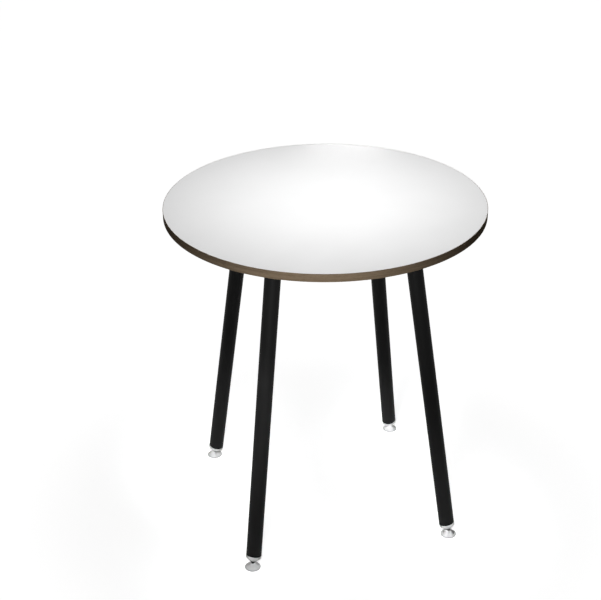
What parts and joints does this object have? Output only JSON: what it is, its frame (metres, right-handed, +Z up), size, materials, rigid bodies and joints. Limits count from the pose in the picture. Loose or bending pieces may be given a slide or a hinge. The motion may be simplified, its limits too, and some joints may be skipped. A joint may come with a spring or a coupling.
{
  "type": "high table",
  "caption": "Standing-height round table: white laminated top with a dark oak edge on splayed black tube legs with collars, levelling stems and swivelling flared glides.",
  "frame": {"origin": "on the floor, under the middle of the round tabletop", "axes": "+Z up out of the tabletop, -Y towards the front, +X to the right seen from the front; the legs stand on the diagonals"},
  "size_m": [1, 1, 1.1],
  "materials": {
    "white_laminate": "smooth white high-pressure laminate, satin",
    "backing_laminate": "plain pale backing laminate, matte",
    "particle_board": "raw particle board",
    "dark_oak_edge": "dark oak wood-look edge band, fine grain along the edge, satin",
    "black_powder_coat": "black powder coat, fine texture, satin",
    "zinc_plated_steel": "zinc-plated steel",
    "satin_grey_metal": "pale grey metallic coat, satin",
    "black_steel": "black oxide steel",
    "black_nylon": "black nylon, satin",
    "grey_felt": "dark grey felt"
  },
  "bodies": {
    "root": {"tabletop_core": "particle_board", "top_laminate": "white_laminate", "backing_laminate": "backing_laminate", "edge_band": "dark_oak_edge", "leg_tube_front_left": "black_powder_coat", "mounting_plate_front_left": "black_powder_coat", "foot_collar_front_left": "satin_grey_metal", "plate_screw_front_left_1": "zinc_plated_steel", "plate_screw_front_left_2": "zinc_plated_steel", "plate_screw_front_left_3": "zinc_plated_steel", "plate_screw_front_left_4": "zinc_plated_steel", "leg_tube_front_right": "black_powder_coat", "mounting_plate_front_right": "black_powder_coat", "foot_collar_front_right": "satin_grey_metal", "plate_screw_front_right_1": "zinc_plated_steel", "plate_screw_front_right_2": "zinc_plated_steel", "plate_screw_front_right_3": "zinc_plated_steel", "plate_screw_front_right_4": "zinc_plated_steel", "leg_tube_back_right": "black_powder_coat", "mounting_plate_back_right": "black_powder_coat", "foot_collar_back_right": "satin_grey_metal", "plate_screw_back_right_1": "zinc_plated_steel", "plate_screw_back_right_2": "zinc_plated_steel", "plate_screw_back_right_3": "zinc_plated_steel", "plate_screw_back_right_4": "zinc_plated_steel", "leg_tube_back_left": "black_powder_coat", "mounting_plate_back_left": "black_powder_coat", "foot_collar_back_left": "satin_grey_metal", "plate_screw_back_left_1": "zinc_plated_steel", "plate_screw_back_left_2": "zinc_plated_steel", "plate_screw_back_left_3": "zinc_plated_steel", "plate_screw_back_left_4": "zinc_plated_steel"},
    "foot_front_left": {"swivel_ball_front_left": "black_nylon"},
    "stem_front_left": {"levelling_stem_front_left": "black_steel"},
    "glide_front_left": {"glide_shell_front_left": "satin_grey_metal", "glide_sole_front_left": "grey_felt"},
    "foot_front_right": {"swivel_ball_front_right": "black_nylon"},
    "stem_front_right": {"levelling_stem_front_right": "black_steel"},
    "glide_front_right": {"glide_shell_front_right": "satin_grey_metal", "glide_sole_front_right": "grey_felt"},
    "foot_back_right": {"swivel_ball_back_right": "black_nylon"},
    "stem_back_right": {"levelling_stem_back_right": "black_steel"},
    "glide_back_right": {"glide_shell_back_right": "satin_grey_metal", "glide_sole_back_right": "grey_felt"},
    "foot_back_left": {"swivel_ball_back_left": "black_nylon"},
    "stem_back_left": {"levelling_stem_back_left": "black_steel"},
    "glide_back_left": {"glide_shell_back_left": "satin_grey_metal", "glide_sole_back_left": "grey_felt"}
  },
  "joints": [
    {"name": "level_front_left", "type": "slide", "parent": "root", "child": "foot_front_left", "axis": [-0.183, -0.183, -0.9659], "range_m": [0, 0.015]},
    {"name": "thread_front_left", "type": "hinge", "parent": "foot_front_left", "child": "stem_front_left", "pos_m": [-0.33385, -0.33385, 0.013], "axis": [-0.183, -0.183, -0.9659], "range_deg": [-10, 3610]},
    {"name": "swivel_front_left", "type": "hinge", "parent": "foot_front_left", "child": "glide_front_left", "pos_m": [-0.33385, -0.33385, 0.013], "axis": [0.7071, -0.7071, 0], "range_deg": [-34.9, 4.9]},
    {"name": "level_front_right", "type": "slide", "parent": "root", "child": "foot_front_right", "axis": [0.183, -0.183, -0.9659], "range_m": [0, 0.015]},
    {"name": "thread_front_right", "type": "hinge", "parent": "foot_front_right", "child": "stem_front_right", "pos_m": [0.33385, -0.33385, 0.013], "axis": [0.183, -0.183, -0.9659], "range_deg": [-10, 3610]},
    {"name": "swivel_front_right", "type": "hinge", "parent": "foot_front_right", "child": "glide_front_right", "pos_m": [0.33385, -0.33385, 0.013], "axis": [0.7071, 0.7071, 0], "range_deg": [-34.9, 4.9]},
    {"name": "level_back_right", "type": "slide", "parent": "root", "child": "foot_back_right", "axis": [0.183, 0.183, -0.9659], "range_m": [0, 0.015]},
    {"name": "thread_back_right", "type": "hinge", "parent": "foot_back_right", "child": "stem_back_right", "pos_m": [0.33385, 0.33385, 0.013], "axis": [0.183, 0.183, -0.9659], "range_deg": [-10, 3610]},
    {"name": "swivel_back_right", "type": "hinge", "parent": "foot_back_right", "child": "glide_back_right", "pos_m": [0.33385, 0.33385, 0.013], "axis": [-0.7071, 0.7071, 0], "range_deg": [-34.9, 4.9]},
    {"name": "level_back_left", "type": "slide", "parent": "root", "child": "foot_back_left", "axis": [-0.183, 0.183, -0.9659], "range_m": [0, 0.015]},
    {"name": "thread_back_left", "type": "hinge", "parent": "foot_back_left", "child": "stem_back_left", "pos_m": [-0.33385, 0.33385, 0.013], "axis": [-0.183, 0.183, -0.9659], "range_deg": [-10, 3610]},
    {"name": "swivel_back_left", "type": "hinge", "parent": "foot_back_left", "child": "glide_back_left", "pos_m": [-0.33385, 0.33385, 0.013], "axis": [-0.7071, -0.7071, 0], "range_deg": [-34.9, 4.9]}
  ],
  "couplings": [
    {"joint": "thread_front_left", "follows": "level_front_left", "rad_per_m": 4188.8},
    {"joint": "thread_front_right", "follows": "level_front_right", "rad_per_m": 4188.8},
    {"joint": "thread_back_right", "follows": "level_back_right", "rad_per_m": 4188.8},
    {"joint": "thread_back_left", "follows": "level_back_left", "rad_per_m": 4188.8}
  ]
}
